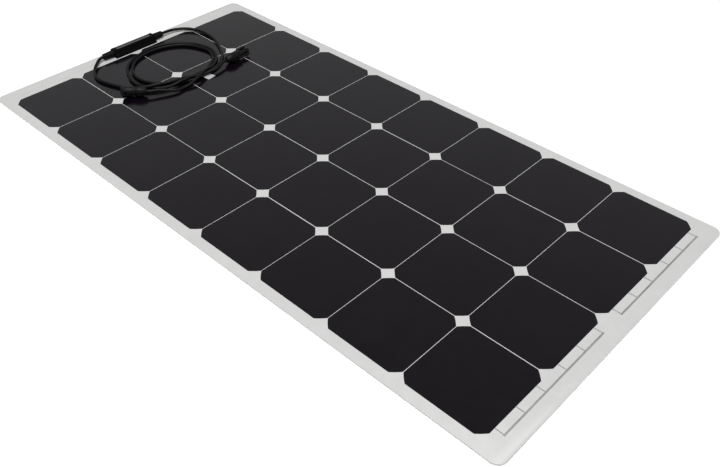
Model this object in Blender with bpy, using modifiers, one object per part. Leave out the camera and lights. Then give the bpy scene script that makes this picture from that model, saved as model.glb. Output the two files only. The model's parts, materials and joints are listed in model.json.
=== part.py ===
"""Flexible solar sheet: thirty-two cells in a bendable laminate, a junction box and two leads.

Metres, +Z up. The origin is the centre of the sheet's underside, +Y runs along the sheet towards the
junction box and +X across it. The laminate is cut into four panels that hinge about X on the lines
between cell rows, which stands in for the even bending of the real sheet.
"""

import math

import bmesh
import bpy
import numpy as np
from mathutils import Euler, Matrix, Vector

MM = 0.001

# Cells and laminate
CELL = 125 * MM  # side of a pseudo-square cell
CELL_ARC = 80 * MM  # radius of the wafer that the cell is cut from
COLUMNS = 4
ROWS = 8
STRING_GAP = 2.5 * MM  # between neighbouring strings, across the sheet
ROW_GAP = 2.0 * MM  # between neighbouring cells of a string
SIDE_MARGIN = 17.25 * MM
END_MARGIN = 36 * MM
SHEET_CORNER = 14 * MM
BACK_T = 0.9 * MM
CELL_T = 0.3 * MM
FILM_T = 0.7 * MM
GAP = 0.3 * MM  # clearance kept between touching pieces
ROWS_PER_PANEL = 2
HINGE_GAP = 0.6 * MM  # slit between neighbouring panels

# Bus ribbons at the near end
BUS_W = 3 * MM
RUNG_W = 1.6 * MM
RUNG_SPACING = 41 * MM
BUS_FROM_CELLS = 14 * MM  # cell edge to the ribbon's centreline

# Junction box
BOX_LENGTH = 91.5 * MM
BOX_X = 3.75 * MM
BOX_Y = 522.5 * MM
BOX_SHAPE = ((0, 12.5), (1.5, 12.5), (12.8, 6.2), (13.6, 5.9), (14.2, 5.3))  # height and half depth, mm
BOX_H = 14.2 * MM
BASE_H = 6.9 * MM
BOX_WALL = 1.6 * MM
GLAND_LENGTH = 20.5 * MM
GLAND_R = 6.6 * MM
GLAND_RIBS = 5
GLAND_TAPER = 0.15 * MM  # lost from each rib to the next

# Leads and their coil
LEAD_D = 5.5 * MM
COIL_CENTRE = Vector((15, 415)) * MM
COIL_HALF = Vector((85, 75)) * MM  # half axes of the coil's centreline
COIL_WIDTH = 22 * MM
COIL_HEIGHT = 12 * MM
LEAD_STEP = 13 * MM  # spacing of a tube's points

# Connectors, measured along their own axis from the cap's cable end
CAP_LENGTH = 17 * MM
CAP_R = 8.6 * MM
THREAD_R = 6.3 * MM
THREAD_START = 10 * MM
PLUG_LENGTH = 54 * MM
PLUG_TAIL = Vector((87, 343.5)) * MM
PLUG_HEADING = math.radians(3)
PLUG_ROLL = math.radians(30)  # lifts the finger on the box side
SOCKET_LENGTH = 44 * MM
SOCKET_FLOOR = 24 * MM
SOCKET_TAIL = Vector((-82, 358)) * MM
SOCKET_HEADING = math.radians(134)

SHEET_W = COLUMNS * CELL + (COLUMNS - 1) * STRING_GAP + 2 * SIDE_MARGIN
SHEET_L = ROWS * CELL + (ROWS - 1) * ROW_GAP + 2 * END_MARGIN
CELL_Z = BACK_T + GAP
FILM_Z = CELL_Z + CELL_T + GAP
TOP_Z = FILM_Z + FILM_T
BOX_FLOOR = TOP_Z + GAP
GLAND_Z = BOX_FLOOR + GLAND_R
CONNECTOR_Z = TOP_Z + GAP + CAP_R + 0.6 * MM
PANELS = ROWS // ROWS_PER_PANEL

LEFT_ROUTE = (  # from the left strain relief round to the coil's left side
    (-74.5, 519.5, 9.0),
    (-84, 512, 8.1),
    (-94, 502.5, 7.2),
    (-102.5, 491.5, 6.5),
    (-108.5, 480, 6.1),
    (-111.5, 470, 5.8),
    (-112, 459, 5.6),
    (-110, 447, 5.6),
    (-107, 435.5, 5.6),
    (-103.5, 425, 5.6),
    (-99.5, 414, 5.6),
    (-95, 403, 5.6),
)
RIGHT_ROUTE = (  # from the right strain relief round to the coil's right side
    (84, 523, 8.9),
    (93, 522.3, 8.4),
    (103.5, 519, 8.0),
    (115, 512.5, 7.4),
    (124.5, 502.5, 6.9),
    (131.5, 488.5, 6.4),
    (135, 471, 6.0),
    (134.5, 453, 5.8),
    (132, 437, 5.6),
    (127, 421.5, 5.6),
)
PLUG_ROUTE = (  # from the coil to the plug's straight tail
    (62.5, 336.9, 10.1),
    (71.5, 339.8, 11.2),
)
SOCKET_ROUTE = (  # from the coil to the socket's straight tail
    (-36, 329, 7),
    (-51, 337, 9.4),
    (-65, 347, 11.4),
)


def clear_scene():
    for thing in list(bpy.data.objects):
        bpy.data.objects.remove(thing, do_unlink=True)


def collection(name):
    made = bpy.data.collections.new(name)
    bpy.context.scene.collection.children.link(made)
    return made


def material(name, colour, roughness, metallic=0.0):
    made = bpy.data.materials.new(name)
    made.use_nodes = True
    shader = made.node_tree.nodes["Principled BSDF"]
    shader.inputs["Base Color"].default_value = (*colour, 1.0)
    shader.inputs["Roughness"].default_value = roughness
    shader.inputs["Metallic"].default_value = metallic
    return made


clear_scene()
PARTS = collection("flexible_solar_sheet")
CUTTERS = collection("cutters")

BACK_SHEET = material("back_sheet", (0.80, 0.80, 0.79), 0.55)
FRONT_FILM = material("front_film", (0.84, 0.84, 0.83), 0.35)
SILICON = material("silicon", (0.012, 0.012, 0.015), 0.35)
TINNED = material("tinned_copper", (0.55, 0.55, 0.52), 0.35, 1.0)
BOX_PLASTIC = material("box_plastic", (0.014, 0.014, 0.015), 0.4)
RUBBER = material("rubber", (0.012, 0.012, 0.012), 0.7)
JACKET = material("lead_jacket", (0.014, 0.014, 0.015), 0.45)
CONNECTOR = material("connector_plastic", (0.014, 0.014, 0.015), 0.42)
EPOXY = material("diode_epoxy", (0.02, 0.02, 0.022), 0.3)


def place(thing, name, look, home=PARTS):
    """Names an object, gives it its material and puts it in one collection only."""
    thing.name = name
    thing.data.name = name
    thing.data.materials.clear()
    thing.data.materials.append(look)
    for other in list(thing.users_collection):
        other.objects.unlink(thing)
    home.objects.link(thing)
    return thing


def plate(name, look, outline, bottom, thickness):
    """A flat piece with the given outline."""
    curve = bpy.data.curves.new(name, "CURVE")
    curve.dimensions = "2D"
    curve.fill_mode = "BOTH"
    curve.extrude = thickness / 2
    spline = curve.splines.new("POLY")
    spline.points.add(len(outline) - 1)
    for point, (x, y) in zip(spline.points, outline):
        point.co = (x, y, 0, 1)
    spline.use_cyclic_u = True
    thing = bpy.data.objects.new(name, curve)
    thing.location.z = bottom + thickness / 2
    return place(thing, name, look)


def cell_outline():
    """A square whose corners are arcs of the round wafer."""
    half = CELL / 2
    reach = math.acos(half / CELL_ARC)
    points = []
    for quarter in range(4):
        start = quarter * math.pi / 2 + reach
        end = (quarter + 1) * math.pi / 2 - reach
        for angle in np.linspace(start, end, 4):
            points.append((CELL_ARC * math.cos(angle), CELL_ARC * math.sin(angle)))
    return points


def panel_outline(near, far, round_near, round_far):
    """A rectangle across the sheet between two lengths, with the sheet's corners where asked."""
    half = SHEET_W / 2
    points = []
    corners = (
        (half, far, 0, round_far),
        (-half, far, 90, round_far),
        (-half, near, 180, round_near),
        (half, near, 270, round_near),
    )
    for x, y, start, rounded in corners:
        if not rounded:
            points.append((x, y))
            continue
        centre_x = x - math.copysign(SHEET_CORNER, x)
        centre_y = y - math.copysign(SHEET_CORNER, y)
        for step in range(6):
            angle = math.radians(start + 18 * step)
            points.append(
                (centre_x + SHEET_CORNER * math.cos(angle), centre_y + SHEET_CORNER * math.sin(angle))
            )
    return points


def make_laminate():
    """The back sheet and the front film, each in four panels from the far end to the near end."""
    row_pitch = CELL + ROW_GAP
    for panel in range(PANELS):
        far = (ROWS / 2 - panel * ROWS_PER_PANEL) * row_pitch - HINGE_GAP / 2
        near = (ROWS / 2 - (panel + 1) * ROWS_PER_PANEL) * row_pitch + HINGE_GAP / 2
        first = panel == 0
        last = panel == PANELS - 1
        if first:
            far = SHEET_L / 2
        if last:
            near = -SHEET_L / 2
        outline = panel_outline(near, far, last, first)
        plate(f"back_sheet_{panel + 1}", BACK_SHEET, outline, 0, BACK_T)
        plate(f"front_film_{panel + 1}", FRONT_FILM, outline, FILM_Z, FILM_T)


def make_cells():
    outline = cell_outline()
    shared = None
    for row in range(ROWS):
        for column in range(COLUMNS):
            name = f"cell_r{row + 1}_c{column + 1}"
            if shared is None:
                thing = plate(name, SILICON, outline, CELL_Z, CELL_T)
                shared = thing.data
            else:
                thing = bpy.data.objects.new(name, shared)
                thing.location.z = CELL_Z + CELL_T / 2
                PARTS.objects.link(thing)
            thing.location.x = (column - (COLUMNS - 1) / 2) * (CELL + STRING_GAP)
            thing.location.y = ((ROWS - 1) / 2 - row) * (CELL + ROW_GAP)


def make_bus_ribbon(name, side):
    """A ribbon joining the near ends of two strings, with three short rungs to each cell."""
    pitch = CELL + STRING_GAP
    field_edge = -(ROWS * CELL + (ROWS - 1) * ROW_GAP) / 2
    middle = field_edge - BUS_FROM_CELLS
    rungs = []
    for string in (0.5, 1.5):
        for step in (-1, 0, 1):
            rungs.append(side * string * pitch + step * RUNG_SPACING)
    rungs.sort()
    left = rungs[0] - RUNG_W / 2
    right = rungs[-1] + RUNG_W / 2
    outline = [(left, middle - BUS_W / 2), (right, middle - BUS_W / 2)]
    for x in reversed(rungs):
        outline.append((x + RUNG_W / 2, middle + BUS_W / 2))
        outline.append((x + RUNG_W / 2, field_edge - GAP))
        outline.append((x - RUNG_W / 2, field_edge - GAP))
        outline.append((x - RUNG_W / 2, middle + BUS_W / 2))
    # The end rungs are flush with the ribbon's ends, so their inner corners on the ends are dropped.
    outline.pop(2)
    outline.pop()
    plate(name, TINNED, outline, CELL_Z, CELL_T)


def block(name, look, size, centre, bevel=0.0, home=PARTS):
    """A box, with rounded edges where a bevel is given."""
    mesh = bpy.data.meshes.new(name)
    form = bmesh.new()
    bmesh.ops.create_cube(form, size=1.0)
    bmesh.ops.scale(form, vec=Vector(size), verts=form.verts)
    form.to_mesh(mesh)
    form.free()
    thing = bpy.data.objects.new(name, mesh)
    thing.location = centre
    place(thing, name, look, home)
    if bevel:
        edges = thing.modifiers.new("rounded edges", "BEVEL")
        edges.width = bevel
        edges.segments = 2
    return thing


def turned(name, look, profile, steps=32, home=PARTS):
    """A solid of revolution about its own Z from (radius, height) points."""
    mesh = bpy.data.meshes.new(name)
    closed = profile[0][0] > 0
    edges = [(i, i + 1) for i in range(len(profile) - 1)]
    if closed:
        edges.append((len(profile) - 1, 0))
    mesh.from_pydata([(radius, 0, height) for radius, height in profile], edges, [])
    thing = bpy.data.objects.new(name, mesh)
    place(thing, name, look, home)
    screw = thing.modifiers.new("turn", "SCREW")
    screw.steps = steps
    screw.render_steps = steps
    screw.use_merge_vertices = True
    screw.merge_threshold = 0.00001
    return thing


def combine(thing, other, operation):
    """Adds a Boolean of another object, which becomes a hidden cutter."""
    for home in list(other.users_collection):
        home.objects.unlink(other)
    CUTTERS.objects.link(other)
    other.hide_render = True
    other.display_type = "WIRE"
    change = thing.modifiers.new(operation.lower(), "BOOLEAN")
    change.operation = operation
    change.object = other


def prism(name, section, length, home=PARTS):
    """A solid along X with a section of (half depth, height) points, mirrored, on the box's middle."""
    outline = list(section) + [(-y, z) for y, z in reversed(section)]
    count = len(outline)
    points = []
    for x in (-length / 2, length / 2):
        points += [(x, y, z) for y, z in outline]
    faces = [tuple(reversed(range(count))), tuple(range(count, 2 * count))]
    for i in range(count):
        following = (i + 1) % count
        faces.append((i, following, count + following, count + i))
    mesh = bpy.data.meshes.new(name)
    mesh.from_pydata(points, [], faces)
    thing = bpy.data.objects.new(name, mesh)
    thing.location = (BOX_X, BOX_Y, BOX_FLOOR)
    return place(thing, name, BOX_PLASTIC, home)


def box_section(low, high, inset=0.0):
    """The junction box's sloping section between two heights, drawn in by a wall."""
    heights = [height * MM for height, _ in BOX_SHAPE]
    depths = [depth * MM for _, depth in BOX_SHAPE]
    levels = [low] + [height for height in heights if low < height < high] + [high]
    return [(float(np.interp(level, heights, depths)) - inset, level) for level in levels]


def make_junction_box():
    """A low base with sloping sides and a hollow, a lid, two strain reliefs and the bypass diode."""
    inner = BOX_LENGTH - 2 * BOX_WALL
    base = prism("box_base", box_section(0, BASE_H), BOX_LENGTH)
    well = prism("box_well", box_section(BOX_WALL, BASE_H + MM, BOX_WALL), inner)
    combine(base, well, "DIFFERENCE")

    lid = prism("box_lid", box_section(BASE_H + GAP, BOX_H), BOX_LENGTH)
    hollow = prism("lid_hollow", box_section(BASE_H - MM, BOX_H - BOX_WALL, BOX_WALL), inner)
    combine(lid, hollow, "DIFFERENCE")

    groove = 0.8 * MM
    pitch = (GLAND_LENGTH - 3 * MM) / GLAND_RIBS
    for name, side in (("strain_relief_left", -1), ("strain_relief_right", 1)):
        profile = [(0, GLAND_LENGTH), (LEAD_D / 2 + 0.9 * MM, GLAND_LENGTH)]
        for rib in range(GLAND_RIBS):
            top = GLAND_LENGTH - 0.4 * MM - rib * pitch
            radius = GLAND_R - (GLAND_RIBS - rib) * GLAND_TAPER
            profile.append((radius, top))
            profile.append((radius, top - 0.62 * pitch))
            profile.append((radius - groove, top - 0.66 * pitch))
            profile.append((radius - groove, top - 0.98 * pitch))
        profile.append((GLAND_R, 2.4 * MM))
        profile.append((GLAND_R, 0))
        profile.append((0, 0))
        relief = turned(name, RUBBER, profile, 24)
        relief.rotation_euler.y = side * math.pi / 2
        relief.location = (BOX_X + side * (BOX_LENGTH / 2 + GAP), BOX_Y, GLAND_Z)

    diode = turned(
        "bypass_diode",
        EPOXY,
        [(0, 4.6 * MM), (2.2 * MM, 4.6 * MM), (2.6 * MM, 4.2 * MM), (2.6 * MM, -4.2 * MM)]
        + [(2.2 * MM, -4.6 * MM), (0, -4.6 * MM)],
        20,
    )
    diode.rotation_euler.y = math.pi / 2
    diode.location = (BOX_X, BOX_Y, BOX_FLOOR + BOX_WALL + 2.6 * MM + GAP)


def on_axis(thing, tail, heading, along=0.0, roll=0.0):
    """Lays a turned piece along a connector's axis, its Z towards the mating end."""
    direction = Vector((math.cos(heading), math.sin(heading), 0))
    lying = Euler((math.pi / 2, 0, heading + math.pi / 2)).to_matrix()
    thing.rotation_euler = (lying @ Matrix.Rotation(roll, 3, "Z")).to_euler()
    thing.location = Vector((tail.x, tail.y, CONNECTOR_Z)) + direction * along
    return thing


def make_cap(name, tail, heading):
    """The cap nut: a tapered sleeve with a hole for the lead and grip ribs round its wide end."""
    hole = LEAD_D / 2 + 0.55 * MM
    bore = THREAD_R + 0.5 * MM
    profile = [
        (bore, CAP_LENGTH),
        (CAP_R, CAP_LENGTH),
        (CAP_R, CAP_LENGTH - 8 * MM),
        (CAP_R - 1.6 * MM, 3.5 * MM),
        (CAP_R - 3.2 * MM, 0.6 * MM),
        (CAP_R - 3.8 * MM, 0),
        (hole, 0),
        (hole, 3 * MM),
        (bore, 4 * MM),
    ]
    cap = on_axis(turned(name, CONNECTOR, profile), tail, heading)
    ribs = 8
    for rib in range(ribs):
        angle = 2 * math.pi * (rib + 0.5) / ribs
        size = (1.6 * MM, 2.0 * MM, 6.4 * MM)
        grip = block(f"{name}_grip_{rib + 1}", CONNECTOR, size, (0, 0, 0), 0.0, CUTTERS)
        reach = CAP_R - 0.3 * MM
        grip.location = (reach * math.cos(angle), reach * math.sin(angle), CAP_LENGTH - 4 * MM)
        grip.rotation_euler.z = angle
        grip.parent = cap
        combine(cap, grip, "UNION")
    return cap


def make_seal(name, tail, heading):
    """The rubber sleeve that the cap squeezes onto the lead."""
    bore = LEAD_D / 2 + 0.45 * MM
    outer = THREAD_R - 0.2 * MM
    length = THREAD_START - 4.4 * MM - 2 * GAP
    profile = [(bore, length), (outer, length), (outer, 0.8 * MM), (outer - 0.8 * MM, 0), (bore, 0)]
    return on_axis(turned(name, RUBBER, profile, 24), tail, heading, 4.4 * MM + GAP)


def make_plug(tail, heading):
    """The plug: a threaded tail, a collar, a round probe and two sprung fingers beside it."""
    length = PLUG_LENGTH
    profile = [
        (0, length - 14 * MM),
        (1.5 * MM, length - 14 * MM),
        (2.2 * MM, length - 13 * MM),
        (2.2 * MM, length),
        (4.2 * MM, length),
        (4.8 * MM, length - 0.8 * MM),
        (4.8 * MM, 37 * MM),
        (4.2 * MM, 36.8 * MM),
        (4.2 * MM, 34.6 * MM),
        (6.6 * MM, 34 * MM),
        (7.2 * MM, 33 * MM),
        (7.2 * MM, 21.4 * MM),
        (CAP_R, 20.8 * MM),
        (CAP_R, CAP_LENGTH + GAP),
        (THREAD_R, CAP_LENGTH + GAP),
        (THREAD_R, THREAD_START + 0.6 * MM),
        (THREAD_R - 0.6 * MM, THREAD_START),
        (0, THREAD_START),
    ]
    plug = on_axis(turned("plug_housing", CONNECTOR, profile), tail, heading, 0.0, PLUG_ROLL)
    for side in (-1, 1):
        arm_size = (2.2 * MM, 5 * MM, 28 * MM)
        arm = block(f"finger_{side}", CONNECTOR, arm_size, (side * 7.5 * MM, 0, 38 * MM), 0.0, CUTTERS)
        arm.parent = plug
        combine(plug, arm, "UNION")
        hook_size = (1.8 * MM, 5 * MM, 5 * MM)
        hook = block(f"hook_{side}", CONNECTOR, hook_size, (side * 8.6 * MM, 0, 46.6 * MM), 0.0, CUTTERS)
        hook.parent = plug
        combine(plug, hook, "UNION")
    contact = [(0, 11 * MM), (1.8 * MM, 11 * MM), (1.8 * MM, 0.4 * MM), (1.4 * MM, 0), (0, 0)]
    metal = turned("plug_contact", TINNED, contact, 16)
    on_axis(metal, tail, heading, length - 12.5 * MM)


def make_socket(tail, heading):
    """The socket: a threaded tail, a collar and a wide sleeve with two latch windows round the pin."""
    length = SOCKET_LENGTH
    bore = 6.4 * MM
    profile = [
        (0, SOCKET_FLOOR),
        (bore, SOCKET_FLOOR),
        (bore, length),
        (8.0 * MM, length),
        (8.4 * MM, length - 0.8 * MM),
        (8.4 * MM, 25.5 * MM),
        (7.4 * MM, 24 * MM),
        (7.4 * MM, 21.4 * MM),
        (CAP_R, 20.8 * MM),
        (CAP_R, CAP_LENGTH + GAP),
        (THREAD_R, CAP_LENGTH + GAP),
        (THREAD_R, THREAD_START + 0.6 * MM),
        (THREAD_R - 0.6 * MM, THREAD_START),
        (0, THREAD_START),
    ]
    socket = on_axis(turned("socket_housing", CONNECTOR, profile), tail, heading)
    window_size = (24 * MM, 5.4 * MM, 5.5 * MM)
    window = block("latch_window", CONNECTOR, window_size, (0, 0, 34.8 * MM), 0.0, CUTTERS)
    window.parent = socket
    combine(socket, window, "DIFFERENCE")
    pin = [(0, 10.8 * MM), (0.8 * MM, 10.4 * MM), (1.5 * MM, 8.8 * MM), (1.5 * MM, 0), (0, 0)]
    metal = turned("socket_contact", TINNED, pin, 16)
    on_axis(metal, tail, heading, SOCKET_FLOOR + GAP)


def smooth_route(points, step):
    """Evenly spaced points on a smooth curve through the route's own points."""
    knots = [Vector(point) for point in points]
    knots = [2 * knots[0] - knots[1]] + knots + [2 * knots[-1] - knots[-2]]
    dense = []
    for i in range(1, len(knots) - 2):
        a, b, c, d = knots[i - 1 : i + 3]
        for t in np.linspace(0, 1, 24, endpoint=False):
            dense.append(
                0.5 * (2 * b + (c - a) * t + (2 * a - 5 * b + 4 * c - d) * t**2)
                + 0.5 * (3 * b - a - 3 * c + d) * t**3
            )
    dense.append(knots[-2])
    walked = [0.0]
    for before, after in zip(dense, dense[1:]):
        walked.append(walked[-1] + (after - before).length)
    count = max(2, round(walked[-1] / step)) + 1
    stations = np.linspace(0, walked[-1], count)
    columns = [np.interp(stations, walked, [point[axis] for point in dense]) for axis in range(3)]
    return list(zip(*columns))


def tube(name, points):
    curve = bpy.data.curves.new(name, "CURVE")
    curve.dimensions = "3D"
    curve.bevel_depth = LEAD_D / 2
    curve.bevel_resolution = 2
    curve.use_fill_caps = True
    spline = curve.splines.new("POLY")
    spline.points.add(len(points) - 1)
    for point, position in zip(spline.points, points):
        point.co = (*position, 1)
    place(bpy.data.objects.new(name, curve), name, JACKET)


def gland_exit(side, out):
    """A point straight out of a strain relief."""
    x = BOX_X + side * (BOX_LENGTH / 2 + GAP + GLAND_LENGTH + out)
    return Vector((x, BOX_Y, GLAND_Z))


def tail_point(tail, heading, along):
    """A point on a connector's axis, behind its cap where along is negative."""
    return Vector(
        (tail.x + math.cos(heading) * along, tail.y + math.sin(heading) * along, CONNECTOR_Z)
    )


def in_metres(route):
    return [Vector(point) * MM for point in route]


def make_leads():
    """The loose stretches of both leads, straight where they meet a strain relief or a connector."""
    for name, side, route in (
        ("left_lead_from_box", -1, LEFT_ROUTE),
        ("right_lead_from_box", 1, RIGHT_ROUTE),
    ):
        straight = gland_exit(side, GAP)
        bend = [gland_exit(side, 4 * MM)] + in_metres(route)
        tube(name, [straight] + smooth_route(bend, LEAD_STEP))
    for name, route, tail, heading in (
        ("left_lead_to_plug", PLUG_ROUTE, PLUG_TAIL, PLUG_HEADING),
        ("right_lead_to_socket", SOCKET_ROUTE, SOCKET_TAIL, SOCKET_HEADING),
    ):
        bend = in_metres(route) + [tail_point(tail, heading, -7 * MM)]
        straight = tail_point(tail, heading, THREAD_START - GAP)
        tube(name, smooth_route(bend, LEAD_STEP) + [straight])


def make_coil():
    """One flattened oval ring, the outer shape of the turns of both leads where they lie together."""
    mean = (COIL_HALF.x + COIL_HALF.y) / 2
    bpy.ops.mesh.primitive_torus_add(
        major_segments=48, minor_segments=12, major_radius=mean, minor_radius=COIL_WIDTH / 2
    )
    ring = place(bpy.context.object, "lead_coil", JACKET)
    form = bmesh.new()
    form.from_mesh(ring.data)
    flatten = (COIL_HALF.x / mean, COIL_HALF.y / mean, COIL_HEIGHT / COIL_WIDTH)
    bmesh.ops.scale(form, vec=Vector(flatten), verts=form.verts)
    form.to_mesh(ring.data)
    form.free()
    ring.location = (COIL_CENTRE.x, COIL_CENTRE.y, TOP_Z + GAP + COIL_HEIGHT / 2)


make_laminate()
make_cells()
make_bus_ribbon("bus_ribbon_left", -1)
make_bus_ribbon("bus_ribbon_right", 1)
make_junction_box()
make_cap("plug_cap", PLUG_TAIL, PLUG_HEADING)
make_seal("plug_seal", PLUG_TAIL, PLUG_HEADING)
make_plug(PLUG_TAIL, PLUG_HEADING)
make_cap("socket_cap", SOCKET_TAIL, SOCKET_HEADING)
make_seal("socket_seal", SOCKET_TAIL, SOCKET_HEADING)
make_socket(SOCKET_TAIL, SOCKET_HEADING)
make_leads()
make_coil()
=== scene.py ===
"""Looks of the flexible solar sheet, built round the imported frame.

Metres, in the frame of the CAD model: +Y runs along the sheet towards the junction box, +Z is up.
"""

import json
import math

import bmesh
import bpy
import numpy as np
from mathutils import Euler, Matrix, Vector


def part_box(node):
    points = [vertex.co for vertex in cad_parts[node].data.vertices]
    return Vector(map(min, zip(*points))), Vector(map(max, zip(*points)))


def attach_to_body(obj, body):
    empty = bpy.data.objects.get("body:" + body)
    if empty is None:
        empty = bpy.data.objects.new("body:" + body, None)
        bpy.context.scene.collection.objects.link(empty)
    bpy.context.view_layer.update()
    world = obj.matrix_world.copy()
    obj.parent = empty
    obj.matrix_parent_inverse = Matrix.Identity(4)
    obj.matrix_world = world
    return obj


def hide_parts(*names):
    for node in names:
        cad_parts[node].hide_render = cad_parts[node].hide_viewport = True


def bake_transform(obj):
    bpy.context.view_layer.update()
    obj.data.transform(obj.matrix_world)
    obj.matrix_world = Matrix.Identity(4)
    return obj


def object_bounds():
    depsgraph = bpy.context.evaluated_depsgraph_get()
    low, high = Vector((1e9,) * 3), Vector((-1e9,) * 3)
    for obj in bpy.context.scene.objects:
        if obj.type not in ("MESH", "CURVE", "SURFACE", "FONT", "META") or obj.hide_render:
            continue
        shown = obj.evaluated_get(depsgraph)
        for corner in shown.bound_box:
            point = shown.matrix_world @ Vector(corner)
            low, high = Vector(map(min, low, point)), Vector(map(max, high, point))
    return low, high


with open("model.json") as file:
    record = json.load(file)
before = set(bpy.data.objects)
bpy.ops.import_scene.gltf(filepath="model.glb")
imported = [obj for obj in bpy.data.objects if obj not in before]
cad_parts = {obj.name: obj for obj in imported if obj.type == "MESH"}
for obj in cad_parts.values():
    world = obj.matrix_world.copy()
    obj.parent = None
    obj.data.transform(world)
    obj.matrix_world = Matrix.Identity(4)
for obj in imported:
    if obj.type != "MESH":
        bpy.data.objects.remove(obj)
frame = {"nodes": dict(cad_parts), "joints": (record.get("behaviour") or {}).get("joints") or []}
CAD_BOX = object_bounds()

MM = 0.001
ROWS = 8
COLUMNS = 4
PANELS = ("box_end_panel", "second_panel", "third_panel", "free_end_panel")
HINGES = ("bend_near_box", "bend_middle", "bend_near_free_end")

# Layers of the laminate, by height
BACK_TOP = 1.1 * MM
FILM_TOP = 2.42 * MM  # between the cells, where the film sinks a little
CELL_TOP = 2.50 * MM
CELL_ARC = 80 * MM  # radius of the wafer that a cell is cut from
CELL_FLOOR = 2.25 * MM  # bottom of the drawn part of a cell, inside the film
CELL_EDGE = 0.1 * MM
CELL_SPREAD = (0.75 * MM, 0.92 * MM)  # how far each cell is drawn past its wafer, narrowing the white gaps, along X and Y
CELL_SLIP = (0.25 * MM, 0.05 * MM)  # how unevenly the cells are laid, along X and Y
SHEET_CORNER = 14 * MM
EDGE_ROUND = 0.45 * MM
SEAM_ROUND = 0.02 * MM  # where the two layers meet
STRIP_STEP = 5 * MM  # spacing of a strip's sections, so that it can bend
END_STEPS = (0, 0.15, 0.35, 0.7, 1.2, 2, 3, 4.5, 6.5, 9, 11.5, 14)  # sections at a rounded end, mm
STRIP_ROWS = (3, 5, 8)  # the last row of cells on each strip
BEND_REACH = 92 * MM  # how far a bend spreads to each side of its hinge
COIL_EDGE = 312 * MM  # no bend comes nearer to the box than this

# Bus ribbons, just under the film
RIBBON_LOW = 2.2 * MM
RIBBON_TOP = FILM_TOP + 0.015 * MM
BUS_W = 2.6 * MM
BUS_FROM_CELLS = 14 * MM  # cell edge to the ribbon's centreline
BUS_PAST_RUNG = 1.6 * MM  # the last rung's centreline to the ribbon's end
BUS_UNDER_BOX = 4 * MM
RUNG_W = 1.5 * MM
RUNG_SPACING = 41 * MM
RUNG_UNDER_CELL = 0.5 * MM

# Leads
LEAD_D = 5.5 * MM
LEAD_STEP = 3.2 * MM  # spacing of a lead's points
COIL_STEP = 9  # degrees between the points that make the coil
COIL_CENTRE = Vector((15, 415)) * MM
COIL_HALF = Vector((85, 75)) * MM
LEFT_ROUTE = (  # from the left strain relief round to the coil's left side
    (-74.5, 519.5, 9.0),
    (-84, 512, 8.1),
    (-94, 502.5, 7.2),
    (-102.5, 491.5, 6.5),
    (-108.5, 480, 6.1),
    (-111.5, 470, 5.8),
    (-112, 459, 5.6),
    (-110, 447, 5.6),
    (-107, 435.5, 5.6),
    (-103.5, 425, 5.6),
    (-99.5, 414, 5.6),
    (-95, 403, 5.6),
)
LEFT_JOIN = ((-86.5, 388.5, 6.6), (-74, 375.5, 9.6))  # over the other lead and onto the coil
RIGHT_ROUTE = (  # from the right strain relief round to the coil's right side
    (84, 523, 8.9),
    (93, 522.3, 8.4),
    (103.5, 519, 8.0),
    (115, 512.5, 7.4),
    (124.5, 502.5, 6.9),
    (131.5, 488.5, 6.4),
    (135, 471, 6.0),
    (134.5, 453, 5.8),
    (132, 437, 5.6),
    (127, 421.5, 5.6),
)
PLUG_JOIN = ((43, 338, 8.4), (53.5, 336, 9.3))  # off the coil, beside its other turns
PLUG_ROUTE = (  # from the coil to the plug's straight tail
    (62.5, 336.9, 10.1),
    (71.5, 339.8, 11.2),
)
SOCKET_ROUTE = (  # from the coil to the socket's straight tail
    (-36, 329, 7),
    (-51, 337, 9.4),
    (-65, 347, 11.4),
)
PLUG_TAIL = Vector((87, 343.5)) * MM
PLUG_HEADING = math.radians(3)
PLUG_ROLL = math.radians(30)
SOCKET_TAIL = Vector((-82, 358)) * MM
SOCKET_HEADING = math.radians(134)
CONNECTOR_Z = 12.0 * MM

# Camera: its place in metres, its angles in degrees and its lens in millimetres
CAMERA_PLACE = (-0.7372, -0.7722, 0.7579)
CAMERA_HEADING = -46.908
CAMERA_DROP = 40.603
CAMERA_ROLL = -0.416
CAMERA_LENS = 40.76

# Studio: radiance of the surroundings by the sine of the elevation, one soft lamp and the floor
SKY = ((0, 0.72), (0.42, 0.66), (0.5, 0.57), (0.58, 0.40), (0.66, 0.24), (0.78, 0.07), (1, 0.04))
LAMP_PLACE = Vector((-0.35, -0.25, 3.4))
LAMP_TARGET = Vector((0.1, 0.1, 0))
LAMP_SIDE = 2.8
LAMP_WATTS = 172
FLOOR_SIDE = 40
FLOOR_LEVEL = -0.4 * MM
FLOOR_TONE = 0.93

# Junction box, in millimetres above its floor and from its middle
BOX_SHAPE = ((0, 12.5), (1.5, 12.5), (12.8, 6.2), (13.6, 5.9), (14.2, 5.3))  # height and half depth
BOX_SPLIT = 6.9  # top of the base
LID_GAP = 0.15
CATCHES = 5
CATCH_INSET = 14  # from the box's ends to the first and last catch
CATCH_HALF = 3.2
CATCH_LOW = 4.2
CATCH_Y = 11.6
CATCH_DEPTH = 1.8
RELIEF_RIBS = 5
RELIEF_TAPER = 0.15

# A connector's collar and thread: radius, and height from the cap's cable end, in millimetres
COLLAR_PROFILE = [(8.3, 21), (8.6, 20.6), (8.6, 17.6), (8.3, 17.3)]
THREAD_PROFILE = [(6.3, 17.3), (6.3, 10.6), (5.8, 10), (0, 10)]
NOTCHES = 6
GRIP_RIBS = 12

# Label
LABEL_PLACE = Vector((36.8, 334.3)) * MM
LABEL_SIDE = 17 * MM
LABEL_TURN = math.radians(8)

# Looks
FILM_GRAIN = 900  # scale of the film's embossing
WEAVE = 260  # scale of the back sheet's weave
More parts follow.
